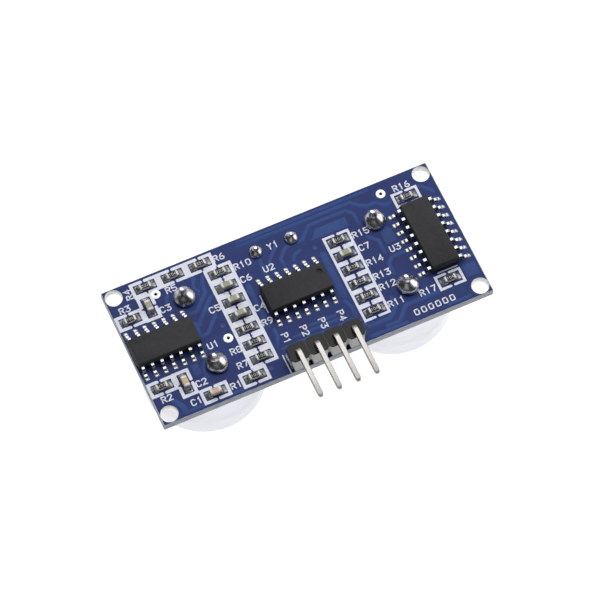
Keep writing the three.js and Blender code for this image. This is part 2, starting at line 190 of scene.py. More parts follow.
ALUMINA = finish("alumina", ((205, 202, 194), (228, 226, 220)), (0.5, 0.65), grain=0.2,
                 bump=(0.3, 0.06, 0.006))
GLAZE = finish("resistor_glaze", ((16, 16, 18), (28, 28, 30)), (0.3, 0.45), grain=0.25,
               bump=(0.3, 0.12, 0.008), specular=0.15)
CODE_INK = finish("resistor_code", ((176, 176, 172), (214, 214, 210)), (0.55, 0.7), grain=0.1)
TERMINAL = finish("chip_terminal", ((146, 146, 144), (184, 184, 180)), (0.42, 0.58), 1.0, grain=0.2,
                  bump=(0.4, 0.1, 0.01))
CERAMICS = {name: finish(f"ceramic_{name}", colours, (0.45, 0.6), grain=0.2) for name, colours in (
    ("green_tan", ((138, 136, 112), (164, 162, 138))), ("tan", ((186, 158, 116), (212, 186, 146))),
    ("salmon", ((186, 156, 132), (210, 182, 160))), ("grey", ((140, 136, 122), (170, 166, 152))))}
CAN = finish("capsule_aluminium", ((216, 218, 224), (236, 237, 242)), (0.3, 0.42), 1.0, grain=0.5,
             stretch=(0.2, 0.2, 5), bump=(0.25, 0.3, 0.006))
WIRE = finish("screen_wire", ((120, 122, 124), (176, 178, 180)), (0.25, 0.4), 1.0, grain=0.3)
HORN = finish("horn_aluminium", ((198, 198, 198), (226, 226, 226)), (0.28, 0.4), 1.0, grain=0.4,
              stretch=(0.3, 0.3, 4), bump=(0.25, 0.15, 0.01))
BRASS = finish("piezo_brass", ((186, 148, 78), (212, 176, 104)), (0.25, 0.4), 1.0, grain=0.4)
PIEZO = finish("piezo_ceramic", ((214, 210, 198), (232, 229, 220)), (0.5, 0.65), grain=0.2)
PHENOLIC = finish("base_phenolic", ((28, 27, 26), (46, 44, 42)), (0.55, 0.75), grain=0.5,
                  bump=(0.4, 0.15, 0.01))
CRYSTAL = finish("crystal_metal", ((190, 190, 188), (222, 222, 220)), (0.2, 0.34), 1.0, grain=0.5,
                 stretch=(0.25, 1, 1), bump=(0.25, 0.2, 0.008))
GLASS_BEAD = finish("glass_bead", ((40, 52, 60), (66, 80, 88)), (0.08, 0.16), grain=0.3)
QUARTZ = finish("quartz", ((214, 224, 224), (236, 242, 242)), (0.1, 0.2), grain=0.4)


# ------------ shapes

class Form:
    """Collects the points and faces of one piece. kind is the number of each face's material."""

    def __init__(self):
        self.points, self.faces, self.kinds = [], [], []

    def add(self, shape, kind=0, place=None):
        points, faces = shape
        first = len(self.points)
        self.points += [tuple(place @ Vector(p)) if place else tuple(p) for p in points]
        self.faces += [tuple(first + i for i in face) for face in faces]
        self.kinds += [kind] * len(faces)
        return self


def make(name, form, materials, replaces=(), smooth=40):
    """Turns a form into a Blender object that rides on the body."""
    mesh = bpy.data.meshes.new(name)
    mesh.from_pydata([[c * MM for c in p] for p in form.points], [], form.faces)
    for one in materials:
        mesh.materials.append(one)
    mesh.polygons.foreach_set("material_index", form.kinds)
    tidy = bmesh.new()
    tidy.from_mesh(mesh)
    bmesh.ops.recalc_face_normals(tidy, faces=tidy.faces)
    tidy.to_mesh(mesh)
    tidy.free()
    mesh.shade_smooth()
    mesh.set_sharp_from_angle(angle=math.radians(smooth))
    piece = bpy.data.objects.new(name, mesh)
    bpy.context.scene.collection.objects.link(piece)
    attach(piece, BODY)
    if replaces:
        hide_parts(*replaces)
    return piece


def loft(rings):
    """Rings with the same number of points, joined in order and capped."""
    count, points, faces = len(rings[0]), [p for ring in rings for p in ring], []
    for a in range(0, len(points) - count, count):
        b = a + count
        faces += [(a + j, a + (j + 1) % count, b + (j + 1) % count, b + j) for j in range(count)]
    return points, [*faces, tuple(reversed(range(count))), tuple(range(b, b + count))]


def turned(profile, steps, centre=(0, 0)):
    """A (radius, height) profile turned about an upright axis. A point on the axis becomes a pole."""
    points, rings, faces = [], [], []
    for radius, height in profile:
        first = len(points)
        if radius < 1e-6:
            points.append((centre[0], centre[1], height))
            rings.append([first] * steps)
            continue
        points += at_height(circle(*centre, radius, steps), height)
        rings.append(list(range(first, first + steps)))
    for low, high in zip(rings, rings[1:]):
        for i in range(steps):
            k = (i + 1) % steps
            face = dict.fromkeys((low[i], low[k], high[k], high[i]))
            if len(face) > 2:
                faces.append(tuple(face))
    return points, faces


def arc(centre, radius, start, end, steps):
    """Points on an arc, with angles in degrees."""
    angles = [math.radians(start + (end - start) * i / steps) for i in range(steps + 1)]
    return [(centre[0] + radius * math.cos(a), centre[1] + radius * math.sin(a)) for a in angles]


def circle(x, y, radius, steps=32):
    return arc((x, y), radius, 0, 360, steps)[:-1]


def rounded_rectangle(half_x, half_y, corner, steps=3, x=0.0, y=0.0):
    corners = [(1, 1, 0), (-1, 1, 90), (-1, -1, 180), (1, -1, 270)]
    return [point for sx, sy, start in corners for point in
            arc((x + sx * (half_x - corner), y + sy * (half_y - corner)), corner, start, start + 90, steps)]


def stadium(half_length, radius, steps=12):
    middle = half_length - radius
    return arc((middle, 0), radius, -90, 90, steps) + arc((-middle, 0), radius, 90, 270, steps)


def grown(outline, distance):
    """An anticlockwise outline moved outwards, or inwards where distance is negative."""
    moved, count = [], len(outline)
    for i, (x, y) in enumerate(outline):
        (ax, ay), (bx, by) = outline[i - 1], outline[(i + 1) % count]
        before, after = Vector((y - ay, ax - x)), Vector((by - y, x - bx))
        before.normalize()
        after.normalize()
        mitre = (before + after) / max(0.3, 1 + before.dot(after))
        moved.append((x + mitre.x * distance, y + mitre.y * distance))
    return moved


def at_height(outline, height):
    return [(x, y, height) for x, y in outline]


def plate(outline, holes, low, high, bevel):
    """A sheet between two heights, with holes. Both faces have small bevels at every edge."""
    loops = [outline, *holes]
    signs = [-1] + [1] * len(holes)
    flat = [grown(loop, sign * bevel) for loop, sign in zip(loops, signs)]
    levels = [(flat, low), (loops, low + bevel), (loops, high - bevel), (flat, high)]
    points, faces = [], []
    size = sum(len(loop) for loop in loops)
    for outlines, height in levels:
        points += [p for loop in outlines for p in at_height(loop, height)]
    for level in range(len(levels) - 1):
        start = level * size
        for loop in loops:
            count = len(loop)
            for j in range(count):
                a, b = start + j, start + (j + 1) % count
                faces.append((a, b, b + size, a + size))
            start += count
    triangles = tessellate_polygon([[Vector(p) for p in at_height(loop, 0)] for loop in levels[0][0]])
    top = (len(levels) - 1) * size
    faces += [tuple(reversed(t)) for t in triangles] + [tuple(top + i for i in t) for t in triangles]
    return points, faces


def stacked(half_x, half_y, corner, profile):
    """Rounded rectangles above each other, each with an inset and a height from the profile."""
    return [at_height(rounded_rectangle(half_x - inset, half_y - inset, corner), z) for inset, z in profile]


def domed_block(half_x, half_y, low, high, corner, edge, steps=2):
    """A block with rounded corners and rounded top and bottom edges."""
    profile = arc((edge, low + edge), edge, -90, -180, steps) + arc((edge, high - edge), edge, 180, 90, steps)
    return loft(stacked(half_x, half_y, corner, profile))


def rounded_path(path, radius, steps=4):
    """A path of (x, y) points with its corners rounded."""
    points = [Vector(p) for p in path]
    smooth = [points[0]]
    for before, corner, after in zip(points, points[1:], points[2:]):
        arm = min(radius, (before - corner).length / 2, (after - corner).length / 2)
        a = corner + (before - corner).normalized() * arm
        b = corner + (after - corner).normalized() * arm
        for i in range(steps + 1):
            t = i / steps
            smooth.append((1 - t) ** 2 * a + 2 * t * (1 - t) * corner + t ** 2 * b)
    smooth.append(points[-1])
    return smooth


def leftwards(path):
    """For each point of a path, the way to its left, long enough to keep a band's width at a corner."""
    ways = []
    for i in range(len(path)):
        steps = [(path[j + 1] - path[j]).normalized() for j in (i - 1, i) if 0 <= j < len(path) - 1]
        along = sum(steps, Vector((0, 0))).normalized()
        ways.append(Vector((-along.y, along.x)) / max(0.4, along.dot(steps[0])))
    return ways


def ribbon(path, width, low, high, slope, cap_steps=5):
    """A low raised band along a path of (x, y) points, with round ends and sloping sides."""
    path = [Vector(p) for p in path]
    rings = []
    for height, half in ((low, width / 2), (high, width / 2 - slope)):
        ways = leftwards(path)
        ring = [point - way * half for point, way in zip(path, ways)]
        for end, along in ((path[-1], path[-1] - path[-2]), (path[0], path[0] - path[1])):
            facing = math.degrees(math.atan2(along.y, along.x))
            ring += [Vector(p) for p in arc(end, half, facing - 90, facing + 90, cap_steps)][1:-1]
            if end is path[-1]:
                ring += [point + way * half for point, way in zip(path, ways)][::-1]
        rings.append(at_height(ring, height))
    return loft(rings)


def swept(path, sections):
    """Outlines set across a path in the (Y, Z) plane, one at each of its points, with their width along X."""
    return loft([[(x, point.x + way.x * t, point.y + way.y * t) for x, t in section]
                 for point, way, section in zip(path, leftwards(path), sections)])


def mound(half_x, half_y, height, rings, corner, x=0.0):
    """A drop of solder on a rounded rectangular foot with its middle at x. height(x, y) starts from there."""
    levels = []
    for i in range(rings + 1):
        share = max((1 - i / rings) ** 0.8, 0.02)
        ring = []
        for c, s in circle(0, 0, 1, 24):
            reach = share * (abs(c / half_x) ** corner + abs(s / half_y) ** corner) ** (-1 / corner)
            ring.append((x + reach * c, reach * s, height(reach * c, reach * s) if i else 0.0))
        levels.append(ring)
    return loft(levels)


def wobble(x, y, size, depth, seed):
    """Smooth unevenness for hand-like solder."""
    return depth * noise.noise(Vector((x / size, y / size, seed)))


# ------------ places taken from the frame

class Box:
    """A CAD node's box in millimetres: its low and high corners, middle and half size."""

    def __init__(self, node):
        self.low, self.high = (Vector(corner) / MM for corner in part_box(node))
        self.middle, self.half = (self.low + self.high) / 2, (self.high - self.low) / 2


def numbered(prefix):
    return sorted(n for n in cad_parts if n.startswith(prefix))


BOARD = Box("circuit_board")
FRONT, BACK = BOARD.low.z, BOARD.high.z
HALF_LENGTH, HALF_WIDTH = BOARD.high.x, BOARD.high.y
MASK_DEPTH = 0.035
PAD_HEIGHT = 0.028
INK_HEIGHT = 0.022
CHIP_NODES = numbered("resistor_") + numbered("capacitor_")
CIRCUITS = numbered("ic_")
CAPSULES = ("transmitter", "receiver")
HEADER_PINS = numbered("header_pin_")


def standing(node):
    """A part's place on the board, with its long side as X, and its height above the board."""
    box = Box(node)
    turn = math.pi / 2 if box.half.y > box.half.x else 0.0
    return Matrix.Translation((*box.middle.xy, BACK)) @ Matrix.Rotation(turn, 4, "Z"), box.high.z - BACK


def both_ways(place):
    """A place, and the same place turned half way round."""
    return [place @ Matrix.Rotation(math.pi * side, 4, "Z") for side in range(2)]


# ------------ circuit board

MOUNTING_HOLE = {"x": 21.25, "y": 8.75, "radius": 1.1}
TEST_VIAS = [(-16.25, 7.05), (-10.45, -2.3), (15.4, 8.25)]
SMALL_VIAS = [(-11.1, 7.05), (-12.95, 0.95), (-10.4, -0.45), (4.6, 4.7), (5.15, 1.6), (-15.8, -4.6),
              (-5.4, 2.6), (-7.3, -8.3), (9.2, 6.5)]
TEST_VIA_HOLE, SMALL_VIA_HOLE = 0.22, 0.14


def mounting_holes(extra=0.0):
    return [circle(sx * MOUNTING_HOLE["x"], sy * MOUNTING_HOLE["y"], MOUNTING_HOLE["radius"] + extra, 48)
            for sx in (-1, 1) for sy in (-1, 1)]


def lead_holes(extra=0.0):
    """Drilled holes for the capsule pins, crystal leads and header pins."""
    leads = [(f"{c}_pin_{i}", 0.5) for c in CAPSULES for i in (1, 2)]
    leads += [(f"crystal_solder_{i}", 0.36) for i in (1, 2)]
    leads += [(f"header_solder_{i}", 0.5) for i in (1, 2, 3, 4)]
    return [circle(*Box(node).middle.xy, radius + extra) for node, radius in leads]


def via_holes(extra=0.0):
    return ([circle(x, y, TEST_VIA_HOLE + extra, 20) for x, y in TEST_VIAS]
            + [circle(x, y, SMALL_VIA_HOLE + extra, 16) for x, y in SMALL_VIAS])


def in_mounting_hole(corners):
    """Whether a face belongs to the wall of a mounting hole."""
    x, y = (sum(abs(corner[axis]) for corner in corners) / len(corners) for axis in (0, 1))
    return math.hypot(x - MOUNTING_HOLE["x"], y - MOUNTING_HOLE["y"]) < MOUNTING_HOLE["radius"] + 0.015


def make_board():
    outline = rounded_rectangle(HALF_LENGTH, HALF_WIDTH, 0.12)
    holes = mounting_holes() + lead_holes() + via_holes()
    core = Form().add(plate(outline, holes, FRONT + 0.02, BACK - 0.02, 0.02))
    # Faces on the mounting holes' walls take the near-white painted-light material, and the rest take the
    # laminate.
    core.kinds = [int(in_mounting_hole([core.points[i] for i in face])) for face in core.faces]
    make("circuit_board_laminate", core, [LAMINATE, HOLE_WALL_PAINTED_LIGHT], ["circuit_board"])
    masked = rounded_rectangle(HALF_LENGTH - 0.09, HALF_WIDTH - 0.07, 0.12)
    open_holes = mounting_holes(0.06) + lead_holes(0.1) + via_holes(0.02)
    for side, low, high in (("back", BACK - MASK_DEPTH, BACK), ("front", FRONT, FRONT + MASK_DEPTH)):
        sheet = Form().add(plate(masked, open_holes, low, high, 0.012))
        make(f"solder_mask_{side}", sheet, [MASK])


# How far a track stands out of the mask, how deep it starts in it, and how wide each of its sloping sides is.
TRACE_HEIGHT, TRACE_ROOT, TRACE_SLOPE = 0.014, 0.01, 0.06
# Tracks on the component side, each a width and the points it turns at.
TRACKS = [
    (0.45, [(-4.2, 8.85), (11.3, 8.75), (12.4, 7.75), (13.1, 7.4), (14.2, 7.4), (15.1, 6.6), (16.0, 6.55)]),
    (0.35, [(-4.0, 9.45), (14.0, 9.45)]),
    (0.45, [(11.05, 5.3), (11.05, 7.2), (10.3, 7.95), (5.2, 7.95), (3.6, 6.35), (1.3, 6.35), (0.05, 5.1),
            (0.05, 3.9)]),
    (0.4, [(0.2, 7.0), (-1.4, 5.4), (-1.4, 3.9)]),
    (0.5, [(-2.45, 6.9), (-2.55, 3.9)]),
    (0.4, [(2.7, 5.2), (1.9, 4.9), (1.4, 4.2)]),
    (0.45, [(-13.9, 2.7), (-12.5, 2.7), (-10.5, 4.7), (-10.4, 5.9), (-9.9, 6.9)]),
    (0.45, [(-12.95, 0.95), (-12.4, 1.6), (-10.0, 3.95)]),
    (0.45, [(-13.6, -0.7), (-12.5, -0.7), (-10.6, 1.3)]),
    (0.45, [(-13.4, -0.2), (-13.4, 1.3)]),
    (0.35, [(-11.1, 7.05), (-11.6, 6.0), (-11.2, 5.2)]),
    (0.4, [(-15.0, 6.3), (-15.5, 5.4), (-15.4, 4.0)]),
    (0.4, [(-14.1, -3.6), (-15.0, -4.9), (-15.0, -6.2)]),
    (0.7, [(-20.0, -7.5), (-19.3, -8.6), (-19.3, -9.4)]),
    (0.4, [(-18.8, -9.5), (-11.2, -9.5)]),
    (0.45, [(11.3, 3.4), (12.35, 2.4), (12.35, 0.5)]),
    (0.45, [(14.7, -0.45), (12.9, -0.45), (12.15, -1.2), (12.15, -2.7)]),
    (0.5, [(8.3, -9.05), (10.0, -9.05), (11.6, -7.35), (16.0, -7.35)]),
    (0.5, [(5.7, -7.6), (6.3, -8.15), (9.1, -8.15), (10.4, -7.0), (10.4, -5.6)]),
    (0.4, [(5.9, -9.5), (9.6, -9.6), (10.8, -9.6)]),
    (0.8, [(5.15, 3.4), (5.15, -2.9)]),
    (0.35, [(4.9, -3.6), (5.3, -4.6), (5.3, -6.6)]),
    (0.6, [(-5.2, 3.3), (-5.2, -2.8)]),
    (0.4, [(-5.35, -5.9), (-4.75, -4.6), (-4.75, -3.6)]),
    (0.35, [(-3.0, -5.6), (3.2, -5.6)]),
    (0.35, [(-0.4, -4.95), (3.0, -4.95)]),
    (0.4, [(-4.9, -6.45), (4.9, -6.45)]),
    (0.45, [(20.3, 7.3), (21.6, 6.1), (21.6, 5.7)]),
    (0.35, [(16.6, -9.5), (19.6, -9.5)]),
]
FRONT_TRACKS = [
    (0.5, [(-3.8, -8.2), (-3.8, -5.4), (-6.2, -3.0), (-6.2, 2.0)]),
    (0.4, [(-1.3, -8.2), (-1.3, -4.6), (-3.4, -2.5), (-3.4, 3.6), (-2.5, 4.5)]),
    (0.4, [(1.3, -8.2), (1.3, -5.0), (3.0, -3.3), (3.0, 3.8), (2.4, 4.4)]),
    (0.6, [(3.8, -8.2), (3.8, -6.2), (5.9, -4.1), (5.9, 2.2)]),
    (0.4, [(-0.6, 4.2), (-0.6, -1.2), (0.4, -2.2), (0.4, -4.6)]),
    (0.4, [(-7.8, -9.3), (-16.6, -9.3), (-18.4, -7.6)]),
    (0.4, [(6.2, -9.3), (16.2, -9.3), (18.2, -7.4)]),
    (0.4, [(19.6, 7.0), (17.4, 9.2), (7.6, 9.2)]),
    (0.4, [(-19.4, 6.8), (-17.2, 9.1), (-7.6, 9.1)]),
]
# Areas of copper left standing under the mask, each a corner list.
POURS = [
    [(4.5, 5.8), (9.9, 5.8), (9.9, 7.2), (5.8, 7.2)],
    [(20.3, -7.1), (22.1, -7.1), (22.1, -5.2), (20.3, -5.2)],
    [(-16.3, -5.4), (-15.3, -5.4), (-15.3, -3.8), (-16.3, -3.8)],
    [(13.0, 1.4), (14.6, 1.4), (14.6, 3.3), (13.7, 4.2), (13.0, 3.4)],
]


def track_bands(tracks, face, out):
    """Mask that stands up over tracks. Each is a hair lower than the last, so that no two faces coincide."""
    form = Form()
    for number, (width, path) in enumerate(tracks):
        rise = TRACE_HEIGHT - 0.0002 * number
        form.add(ribbon(rounded_path(path, 0.12, 2), width + 2 * TRACE_SLOPE, face - TRACE_ROOT * out,
                        face + rise * out, TRACE_SLOPE))
    return form


def make_tracks():
    form = track_bands(TRACKS, BACK, 1)
    for outline in POURS:
        form.add(loft([at_height(outline, BACK - TRACE_ROOT),
                       at_height(grown(outline, -TRACE_SLOPE), BACK + TRACE_HEIGHT / 2)]))
    hole, dark = SMALL_VIA_HOLE, Form()
    ring = [(hole, BACK - 0.01), (0.36, BACK - 0.01), (0.33, BACK + 0.02), (0.2, BACK + 0.03),
            (hole, BACK + 0.01), (hole, BACK - 0.01)]
    plug = [(0, FRONT + 0.3), (hole, FRONT + 0.3), (hole, BACK - 0.02), (0, BACK - 0.04)]
    for centre in SMALL_VIAS:
        form.add(turned(ring, 24, centre))
        dark.add(turned(plug, 16, centre))
    make("tracks_back", form, [MASK_ON_COPPER])
    make("tracks_front", track_bands(FRONT_TRACKS, FRONT, -1), [MASK_ON_COPPER])
    make("tented_vias", dark, [VIA_DARK])


def make_plated_rings():
    """Bare tinned rings of the test vias, through the board, with each barrel coloured dark as painted shade.
    """
    form, hole, rim = Form(), TEST_VIA_HOLE - 0.02, 0.62
    barrel = [(hole, FRONT), (TEST_VIA_HOLE, FRONT), (TEST_VIA_HOLE, BACK), (hole, BACK), (hole, FRONT)]
    for centre in TEST_VIAS:
        for face, rise in ((BACK, 0.045), (FRONT, -0.02)):
            ring = [(hole, face), (rim, face), (rim, face + 0.4 * rise), (rim - 0.12, face + rise),
                    (hole + 0.08, face + rise), (hole, face + 0.4 * rise), (hole, face)]
            form.add(turned(ring, 32, centre))
        # The barrel takes the dark painted-shade material, which stands for the shade inside the hole.
        form.add(turned(barrel, 32, centre), 1)
    make("test_via_rings", form, [RING_TIN, PAINTED_SHADE_BARREL])


# ------------ white print

GLYPHS = {
    "0": [[(0, 1), (0, 5), (1, 6), (3, 6), (4, 5), (4, 1), (3, 0), (1, 0), (0, 1)]],
    "1": [[(1, 5), (2, 6), (2, 0)]],
    "2": [[(0, 5), (1, 6), (3, 6), (4, 5), (4, 4), (0, 0), (4, 0)]],
    "3": [[(0, 6), (4, 6), (2, 3.6), (3, 3.6), (4, 2.6), (4, 1), (3, 0), (1, 0), (0, 1)]],
    "4": [[(3, 0), (3, 6), (0, 2), (4, 2)]],
    "5": [[(4, 6), (0, 6), (0, 3.5), (3, 3.5), (4, 2.5), (4, 1), (3, 0), (1, 0), (0, 1)]],
    "6": [[(3, 6), (1, 4.7), (0, 3), (0, 1), (1, 0), (3, 0), (4, 1), (4, 2), (3, 3), (0, 3)]],
    "7": [[(0, 6), (4, 6), (1.5, 0)]],
    "8": [[(1, 3), (0, 4), (0, 5), (1, 6), (3, 6), (4, 5), (4, 4), (3, 3), (1, 3), (0, 2), (0, 1), (1, 0),
           (3, 0), (4, 1), (4, 2), (3, 3)]],
    "9": [[(1, 0), (3, 1.3), (4, 3), (4, 5), (3, 6), (1, 6), (0, 5), (0, 4), (1, 3), (4, 3)]],
    "C": [[(4, 5), (3, 6), (1, 6), (0, 5), (0, 1), (1, 0), (3, 0), (4, 1)]],
    "U": [[(0, 6), (0, 1), (1, 0), (3, 0), (4, 1), (4, 6)]],
    "Y": [[(0, 6), (2, 3.4), (4, 6)], [(2, 3.4), (2, 0)]],
    "P": [[(0, 0), (0, 6), (3, 6), (4, 5), (4, 4), (3, 3), (0, 3)]],
}
GLYPHS["R"] = [*GLYPHS["P"], [(2, 3), (4, 0)]]
LETTER_HEIGHT, LETTER_STROKE = 0.78, 0.17
LETTER_WIDTH = LETTER_HEIGHT * 4 / 6
LETTER_STEP = 0.8


def letter_strokes(text, x, y, turn=0.0, scale=1.0):
    """The strokes of a short label, centred on (x, y) and turned anticlockwise, as paths of (x, y)."""
    unit = LETTER_HEIGHT / 6
    start = -((len(text) - 1) * LETTER_STEP + LETTER_WIDTH) / 2
    c, s = scale * math.cos(turn), scale * math.sin(turn)
    strokes = []
    for i, letter in enumerate(text):
        for path in GLYPHS[letter]:
            flat = [(start + i * LETTER_STEP + px * unit, (py - 3) * unit) for px, py in path]
            strokes.append([(x + px * c - py * s, y + px * s + py * c) for px, py in flat])
    return strokes


class Print:
    """White ink laid down as thin raised bands, each a hair lower than the one before it."""

    def __init__(self, face, out):
        self.form, self.face, self.out, self.count = Form(), face, out, 0

    def band(self, path, width):
        rise = INK_HEIGHT - 0.00004 * self.count
        low, high = self.face - 0.002 * self.out, self.face + rise * self.out
        self.form.add(ribbon(path, width, low, high, 0.012))
        self.count += 1

    def text(self, text, x, y, turn=0.0):
        for path in letter_strokes(text, x, y, turn):
            self.band(path, LETTER_STROKE)


FRONT_LINE = 0.18
# Half sizes of a bracket's middle line and its width, for the parts left and right of the board's middle.
BRACKETS = {"left": (1.66, 0.87, 0.44), "right": (1.64, 0.92, 0.35)}
BRACKET_GAP = 0.3
# Bare board left between the print and the board's ends.
PRINT_MARGIN = 0.1


def print_brackets(ink):
    """Two square brackets around each chip part, open in the middle of its long sides."""
    for node in CHIP_NODES:
        place, _ = standing(node)
        half_x, half_y, width = BRACKETS["left" if Box(node).middle.x < 0 else "right"]
        for side in (-1, 1):
            inner, outer = side * BRACKET_GAP, side * half_x
            flat = [(inner, half_y), (outer, half_y), (outer, -half_y), (inner, -half_y)]
            limit = HALF_LENGTH - PRINT_MARGIN - width / 2
            placed = [place @ Vector((x, y, 0)) for x, y in flat]
            ink.band([(max(-limit, min(limit, p.x)), p.y) for p in placed], width)


# Where a part's own number is printed: the side of the part, then how far along and off that side.
LABELS = {
    "R1": ("left", -1.9, -0.1), "R2": ("below", -0.05, -1.68), "R3": ("above", -0.05, 1.65),
    "R4": ("turned", -2.35, -0.15), "R5": ("below", -0.9, -1.62), "R6": ("right", 1.9, 0.0),
    "R7": ("left", -1.9, 0.05), "R8": ("left", -1.9, 0.0), "R9": ("right", 2.0, -0.1),
    "R10": ("right", 2.0, -0.1), "R11": ("right", 1.95, -0.05), "R12": ("right", 1.95, 0.4),
    "R13": ("right", 1.95, -0.1), "R14": ("right", 1.95, -0.1), "R15": ("right", 1.95, -0.1),
    "R16": ("above", 0.0, 1.68), "R17": ("left", -2.15, -0.3), "C1": ("left", -1.95, -0.1),
    "C2": ("right", 1.2, -0.7), "C3": ("right", 1.15, -1.0), "C4": ("right", 1.95, 0.0),
    "C5": ("left", -1.95, -0.1), "C6": ("right", 2.0, 0.05), "C7": ("right", 1.95, 0.05),
}
KINDS = {"R": "resistor", "C": "capacitor"}


def print_labels(ink):
    for text, (side, dx, dy) in LABELS.items():
        part = Box(f"{KINDS[text[0]]}_{int(text[1:]):02d}").middle
        width = (len(text) - 1) * LETTER_STEP + LETTER_WIDTH
        shift = {"right": width / 2, "left": -width / 2}.get(side, 0.0)
        ink.text(text, part.x + dx + shift, part.y + dy, math.pi / 2 if side == "turned" else 0.0)


CIRCUIT_LABELS = {"ic_receiver_amplifier": ("U1", 5.5, -2.4), "ic_controller": ("U2", -1.85, 4.5),
                  "ic_transmitter_driver": ("U3", -4.6, 0.4)}
# Short plain lines by the chips and the header, each a width, a middle and a half length along X or Y.
MARKS = [(0.14, (-22.25, 0.25), (0, 1.25)), (0.15, (-4.47, 0.15), (0, 1.25)), (0.18, (18.5, -4.97), (1.3, 0)),
         (0.16, (-5.28, -8.575), (0, 1.275))]
# A row of plain boxes: how many, the first one's middle, their spacing, half width and half height.
BOXES = {"count": 6, "x": 12.45, "y": -8.8, "step": 0.98, "half_x": 0.26, "half_y": 0.36}
PIN_LABEL_Y = -5.3
CAPSULE_RING = 8.35


def print_back():
    ink = Print(BACK, 1)
    print_brackets(ink)
    print_labels(ink)
    for node, (text, dx, dy) in CIRCUIT_LABELS.items():
        part = Box(node).middle
        ink.text(text, part.x + dx, part.y + dy)
    ink.text("Y1", -0.1, Box("crystal_solder_1").middle.y + 0.05)
    for width, (x, y), (half_x, half_y) in MARKS:
        ink.band([(x - half_x, y + half_y), (x + half_x, y - half_y)], width)
    for number, node in enumerate(HEADER_PINS, 1):
        ink.text(f"P{number}", Box(node).middle.x - 0.1, PIN_LABEL_Y, -math.pi / 2)
    for i in range(BOXES["count"]):
        x = BOXES["x"] + BOXES["step"] * i
        box = rounded_rectangle(BOXES["half_x"], BOXES["half_y"], 0.1, 2, x, BOXES["y"])
        ink.band([*box, box[0]], LETTER_STROKE)
    make("silkscreen_back", ink.form, [INK])


def print_front():
    """Rings around the capsules, the crystal's outline up to the board's edge, and a box at the header."""
    ink = Print(FRONT, -1)
    for capsule in CAPSULES:
        ring = circle(*Box(f"{capsule}_can").middle.xy, CAPSULE_RING, 96)
        ink.band([*ring, ring[0]], FRONT_LINE)
    can = Box("crystal_can")
    outline = [(x, y + can.middle.y) for x, y in stadium(can.half.x + 0.35, can.half.y + 0.35)]
    ink.band([(x, y) for x, y in outline if y < HALF_WIDTH - 0.2], FRONT_LINE)
    ends = [Box(HEADER_PINS[i]).middle.x for i in (0, -1)]
    box = rounded_rectangle((ends[1] - ends[0]) / 2 + 1.27, 1.25, 0.1, 2, sum(ends) / 2, -8.6)
    ink.band([*box, box[0]], FRONT_LINE)
    make("silkscreen_front", ink.form, [INK])


# ------------ integrated circuits

SOIC = {"half_width": 1.95, "standoff": 0.13, "draft": 0.13, "pitch": 1.27, "reach": 3.04, "lead": 0.42,
        "thickness": 0.2, "foot": 0.4, "knee": 0.46}


def circuit_body(half_length, height, dimple, depth):
    """The moulded body: drafted sides that meet at the parting line, and a dimple at pin 1."""
    width, draft, low = SOIC["half_width"], SOIC["draft"], SOIC["standoff"]
    line, edge = (height + low) / 2, 0.05
    levels = [
        (draft + edge, low), (draft * 0.96, low + edge), (0.015, line - 0.025), (-0.012, line - 0.02),
        (-0.012, line + 0.02), (0.015, line + 0.025), (draft * 0.94, height - edge),
        (draft + 0.015, height - 0.02), (draft + edge, height),
    ]
    rings = stacked(half_length, width, 0.09, levels)
    points, faces = loft(rings)
    faces.pop()
    steps, top, hole_start = DIMPLE_STEPS, rings[-1], len(points)
    rim = circle(*dimple, 0.42, steps)
    points += at_height(rim, height)
    for radius, share in ((0.37, 0.87), (0.2, 1)):
        points += at_height(circle(*dimple, radius, steps), height - depth * share)
    flat = tessellate_polygon([[Vector((x, y, 0)) for x, y, _ in top], [Vector((x, y, 0)) for x, y in rim]])
    first_top = (len(rings) - 1) * len(top)

    def real(i):
        return first_top + i if i < len(top) else hole_start + i - len(top)
    faces += [tuple(real(i) for i in triangle) for triangle in flat]
    for a in (hole_start, hole_start + steps):
        b = a + steps
        faces += [(a + j, a + (j + 1) % steps, b + (j + 1) % steps, b + j) for j in range(steps)]
    faces.append(tuple(range(b, b + steps)))
    return points, faces


def gull_wing(height):
    """A lead: out of the body at its parting line, down, and out along its pad."""
    line, thin, reach = (height + SOIC["standoff"]) / 2, SOIC["thickness"] / 2, SOIC["reach"]
    corners = [(SOIC["half_width"] - 0.12, line), (SOIC["half_width"] + SOIC["knee"], line),
               (reach - SOIC["foot"], PAD_HEIGHT + thin), (reach, PAD_HEIGHT + thin)]
    path = rounded_path(corners, 0.14)
    return swept(path, [rounded_rectangle(SOIC["lead"] / 2, thin, 0.03, 1)] * len(path))


# How far from a chip's middle line the middle of its pads is, and a pad's half size and corner.
PAD_MIDDLE, PAD = 2.98, (0.31, 0.64, 0.16)


def foot_solder(seed):
    """Solder that climbs around a lead's foot."""
    toe = SOIC["reach"] - PAD_MIDDLE

    def height(x, y):
        away = math.hypot(max(0.0, abs(x) - SOIC["lead"] / 2), max(0.0, y - toe))
        return 0.04 + 0.16 * math.exp(-(away / 0.13) ** 1.5) + wobble(x, y, 0.3, 0.012, seed)
    return mound(0.3, 0.62, height, rings=7, corner=3)


DIMPLE_STEPS = 28
# The middle and the depth of the dimple that marks a chip's pin 1.
DIMPLES = {"ic_receiver_amplifier": ((-3.35, 0.75), 0.05), "ic_controller": ((3.35, 0.65), 0.23),
           "ic_transmitter_driver": ((4.0, 0.75), 0.05)}


